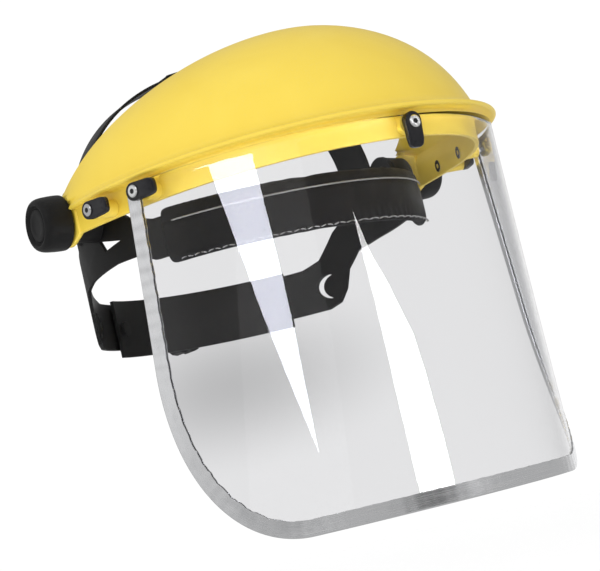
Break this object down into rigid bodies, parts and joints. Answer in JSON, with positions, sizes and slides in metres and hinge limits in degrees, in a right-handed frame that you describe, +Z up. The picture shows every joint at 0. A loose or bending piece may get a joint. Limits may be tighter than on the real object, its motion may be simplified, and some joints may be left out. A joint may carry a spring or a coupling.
{
  "type": "browguard face shield",
  "caption": "Yellow browguard with a clear wrap-round face shield in a metal edge, hinged at side knobs on a black ratchet headband with a padded brow.",
  "frame": {"origin": "middle of the pivot axis, between the two side knobs, at the wearer's temples", "axes": "+X towards the wearer's left, +Y backwards (so the visor faces -Y), +Z up, with the band level as worn"},
  "size_m": [0.2586, 0.2859, 0.2676],
  "materials": {
    "yellow_shell": "satin moulded yellow plastic",
    "clear_sheet": "clear polished polycarbonate sheet",
    "edge_metal": "bright rolled aluminium edging",
    "bright_rivet": "nickel-plated tubular rivet",
    "black_plastic": "satin black moulded plastic",
    "knob_plastic": "satin black moulded plastic with soft edges",
    "pad_leatherette": "fine-grained black leatherette over foam",
    "steel": "zinc-plated steel",
    "brass": "plain turned brass"
  },
  "bodies": {
    "headband": {"headband": "black_plastic", "forehead_pad": "pad_leatherette", "nape_band": "black_plastic", "nape_studs": "black_plastic", "nape_cover": "black_plastic", "ratchet_ring": "black_plastic", "right_crown_strap": "black_plastic", "left_crown_strap": "black_plastic", "crown_pegs": "black_plastic", "crown_studs": "black_plastic", "right_hub": "black_plastic", "left_hub": "black_plastic", "right_bolt": "steel", "left_bolt": "steel", "right_spring_washer": "steel", "left_spring_washer": "steel"},
    "crown": {"browguard": "yellow_shell", "visor": "clear_sheet", "visor_binding": "edge_metal", "visor_studs": "yellow_shell", "button_rivets": "bright_rivet"},
    "centre_button": {"centre_button": "black_plastic"},
    "right_front_button": {"right_front_button": "black_plastic"},
    "left_front_button": {"left_front_button": "black_plastic"},
    "right_rear_button": {"right_rear_button": "black_plastic"},
    "left_rear_button": {"left_rear_button": "black_plastic"},
    "right_knob": {"right_knob": "knob_plastic", "right_knob_nut": "brass", "right_knob_cap": "knob_plastic", "right_flat_washer": "steel"},
    "left_knob": {"left_knob": "knob_plastic", "left_knob_nut": "brass", "left_knob_cap": "knob_plastic", "left_flat_washer": "steel"},
    "ratchet": {"ratchet_pinion": "steel", "click_spring": "steel", "ratchet_knob": "black_plastic", "ratchet_screw": "steel"},
    "right_tail": {"right_tail": "black_plastic"},
    "left_tail": {"left_tail": "black_plastic"}
  },
  "joints": [
    {"name": "brow_pivot", "type": "hinge", "parent": "headband", "child": "crown", "pos_m": [0, 0, 0], "axis": [-1, 0, 0], "range_deg": [0, 85]},
    {"name": "centre_button_turn", "type": "hinge", "parent": "crown", "child": "centre_button", "pos_m": [0, -0.1573, -0.0042], "axis": [0, -1, 0], "range_deg": [0, 90]},
    {"name": "right_front_button_turn", "type": "hinge", "parent": "crown", "child": "right_front_button", "pos_m": [-0.09684, -0.07654, -0.0042], "axis": [0.9453, 0.3263, 0], "range_deg": [0, 90]},
    {"name": "left_front_button_turn", "type": "hinge", "parent": "crown", "child": "left_front_button", "pos_m": [0.09684, -0.07654, -0.0042], "axis": [0.9453, -0.3263, 0], "range_deg": [0, 90]},
    {"name": "right_rear_button_turn", "type": "hinge", "parent": "crown", "child": "right_rear_button", "pos_m": [-0.10563, -0.04443, -0.0042], "axis": [0.9741, 0.2259, 0], "range_deg": [0, 90]},
    {"name": "left_rear_button_turn", "type": "hinge", "parent": "crown", "child": "left_rear_button", "pos_m": [0.10563, -0.04443, -0.0042], "axis": [0.9741, -0.2259, 0], "range_deg": [0, 90]},
    {"name": "right_knob_turn", "type": "hinge", "parent": "headband", "child": "right_knob", "pos_m": [-0.12, 0, 0], "axis": [-1, 0, 0], "range_deg": [0, 180]},
    {"name": "left_knob_turn", "type": "hinge", "parent": "headband", "child": "left_knob", "pos_m": [0.12, 0, 0], "axis": [-1, 0, 0], "range_deg": [-180, 0]},
    {"name": "ratchet_turn", "type": "hinge", "parent": "headband", "child": "ratchet", "pos_m": [0, 0.1, -0.052], "axis": [0, 1, 0], "range_deg": [0, 190]},
    {"name": "right_tail_slide", "type": "hinge", "parent": "headband", "child": "right_tail", "pos_m": [0, 0.004, -0.052], "axis": [0, 0, -1], "range_deg": [0, 12.5]},
    {"name": "left_tail_slide", "type": "hinge", "parent": "headband", "child": "left_tail", "pos_m": [0, 0.004, -0.052], "axis": [0, 0, 1], "range_deg": [0, 12.5]}
  ],
  "couplings": [
    {"joint": "right_tail_slide", "follows": "ratchet_turn", "ratio": 0.064447},
    {"joint": "left_tail_slide", "follows": "ratchet_turn", "ratio": 0.064447}
  ]
}
